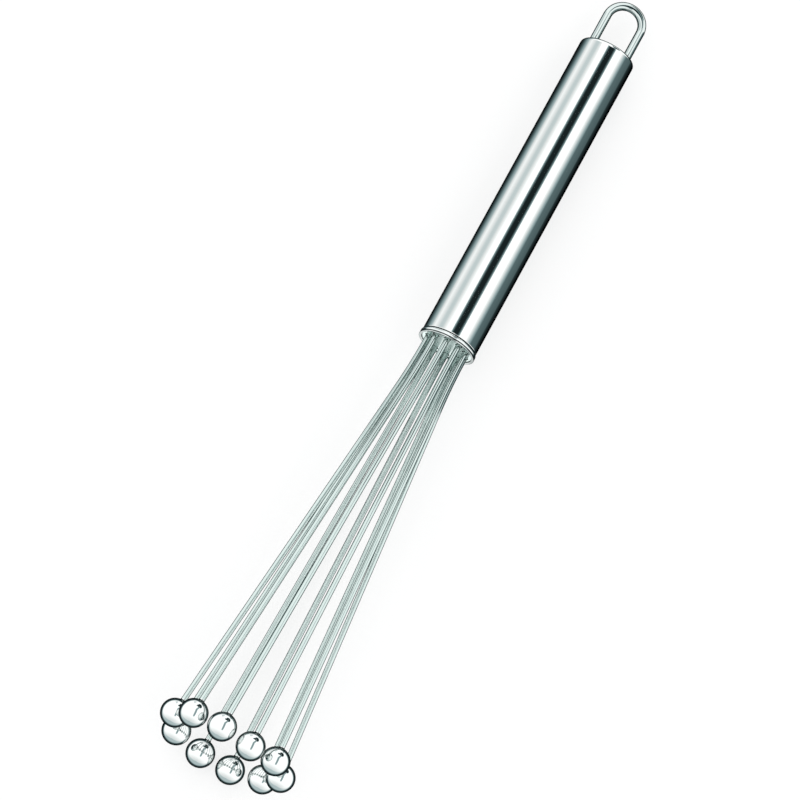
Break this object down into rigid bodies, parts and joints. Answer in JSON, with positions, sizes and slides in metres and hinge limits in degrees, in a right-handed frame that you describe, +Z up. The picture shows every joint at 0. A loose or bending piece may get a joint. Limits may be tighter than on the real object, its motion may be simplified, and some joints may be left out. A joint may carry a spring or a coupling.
{
  "type": "ball whisk",
  "caption": "Whisk with a tube handle and hanging loop, and straight sprung wires that fan out from a collar, each ending in a steel ball.",
  "frame": {"origin": "bottom centre of the whisk's box, on the surface that it lies on", "axes": "+X along the whisk towards the hanging loop, +Z up from the surface, +Y across; the whisk lies on its two lowest balls and the handle's upper edge, so its axis dips 2.9 degrees towards the loop"},
  "size_m": [0.3068, 0.0512, 0.0482],
  "materials": {
    "polished_tube": "mirror polished stainless steel",
    "polished_collar": "polished stainless steel",
    "polished_ball": "mirror polished stainless steel",
    "spring_wire": "bright drawn stainless spring wire",
    "loop_wire": "bright drawn stainless wire",
    "satin_plate": "stamped stainless sheet",
    "satin_cap": "satin stainless steel",
    "cast_resin": "cast epoxy resin"
  },
  "bodies": {
    "handle": {"handle_tube": "polished_tube", "end_cap": "satin_cap", "hanging_loop": "loop_wire", "ferrule_ring": "polished_collar", "wire_plate": "satin_plate", "potting_plug": "cast_resin"},
    "sprung_wire_01": {"wire_01": "spring_wire", "ball_01": "polished_ball"},
    "sprung_wire_02": {"wire_02": "spring_wire", "ball_02": "polished_ball"},
    "sprung_wire_03": {"wire_03": "spring_wire", "ball_03": "polished_ball"},
    "sprung_wire_04": {"wire_04": "spring_wire", "ball_04": "polished_ball"},
    "sprung_wire_05": {"wire_05": "spring_wire", "ball_05": "polished_ball"},
    "sprung_wire_06": {"wire_06": "spring_wire", "ball_06": "polished_ball"},
    "sprung_wire_07": {"wire_07": "spring_wire", "ball_07": "polished_ball"},
    "sprung_wire_08": {"wire_08": "spring_wire", "ball_08": "polished_ball"},
    "sprung_wire_09": {"wire_09": "spring_wire", "ball_09": "polished_ball"},
    "sprung_wire_10": {"wire_10": "spring_wire", "ball_10": "polished_ball"}
  },
  "joints": [
    {"name": "wire_flex_01", "type": "hinge", "parent": "handle", "child": "sprung_wire_01", "pos_m": [0.01296, 0.00304, 0.00946], "axis": [-0.0104, -0.9783, -0.2068], "range_deg": [0, 5], "stiffness_Nm_per_rad": 2.84, "deforming": ["wire_01"]},
    {"name": "wire_flex_02", "type": "hinge", "parent": "handle", "child": "sprung_wire_02", "pos_m": [0.01311, 0.0063, 0.01249], "axis": [-0.0393, -0.6226, -0.7815], "range_deg": [-1.1, 5], "stiffness_Nm_per_rad": 2.84, "deforming": ["wire_02"]},
    {"name": "wire_flex_03", "type": "hinge", "parent": "handle", "child": "sprung_wire_03", "pos_m": [0.01333, 0.00715, 0.01685], "axis": [-0.0501, -0.0653, -0.9966], "range_deg": [-1.1, 5], "stiffness_Nm_per_rad": 2.84, "deforming": ["wire_03"]},
    {"name": "wire_flex_04", "type": "hinge", "parent": "handle", "child": "sprung_wire_04", "pos_m": [0.01354, 0.00527, 0.02088], "axis": [-0.042, 0.5495, -0.8345], "range_deg": [-1.1, 5], "stiffness_Nm_per_rad": 2.84, "deforming": ["wire_04"]},
    {"name": "wire_flex_05", "type": "hinge", "parent": "handle", "child": "sprung_wire_05", "pos_m": [0.01364, 0.00137, 0.02303], "axis": [-0.017, 0.9409, -0.3384], "range_deg": [-0.7, 5], "stiffness_Nm_per_rad": 2.84, "deforming": ["wire_05"]},
    {"name": "wire_flex_06", "type": "hinge", "parent": "handle", "child": "sprung_wire_06", "pos_m": [0.01362, -0.00304, 0.02249], "axis": [0.0104, 0.9783, 0.2068], "range_deg": [-0.7, 5], "stiffness_Nm_per_rad": 2.84, "deforming": ["wire_06"]},
    {"name": "wire_flex_07", "type": "hinge", "parent": "handle", "child": "sprung_wire_07", "pos_m": [0.01347, -0.0063, 0.01946], "axis": [0.0377, 0.6606, 0.7498], "range_deg": [-1.1, 5], "stiffness_Nm_per_rad": 2.84, "deforming": ["wire_07"]},
    {"name": "wire_flex_08", "type": "hinge", "parent": "handle", "child": "sprung_wire_08", "pos_m": [0.01325, -0.00715, 0.0151], "axis": [0.0501, 0.0653, 0.9966], "range_deg": [-1.1, 5], "stiffness_Nm_per_rad": 2.84, "deforming": ["wire_08"]},
    {"name": "wire_flex_09", "type": "hinge", "parent": "handle", "child": "sprung_wire_09", "pos_m": [0.01304, -0.00527, 0.01107], "axis": [0.0426, -0.5316, 0.8459], "range_deg": [-1.1, 5], "stiffness_Nm_per_rad": 2.84, "deforming": ["wire_09"]},
    {"name": "wire_flex_10", "type": "hinge", "parent": "handle", "child": "sprung_wire_10", "pos_m": [0.01294, -0.00137, 0.00891], "axis": [0.017, -0.9409, 0.3384], "range_deg": [0, 5], "stiffness_Nm_per_rad": 2.84, "deforming": ["wire_10"]}
  ]
}
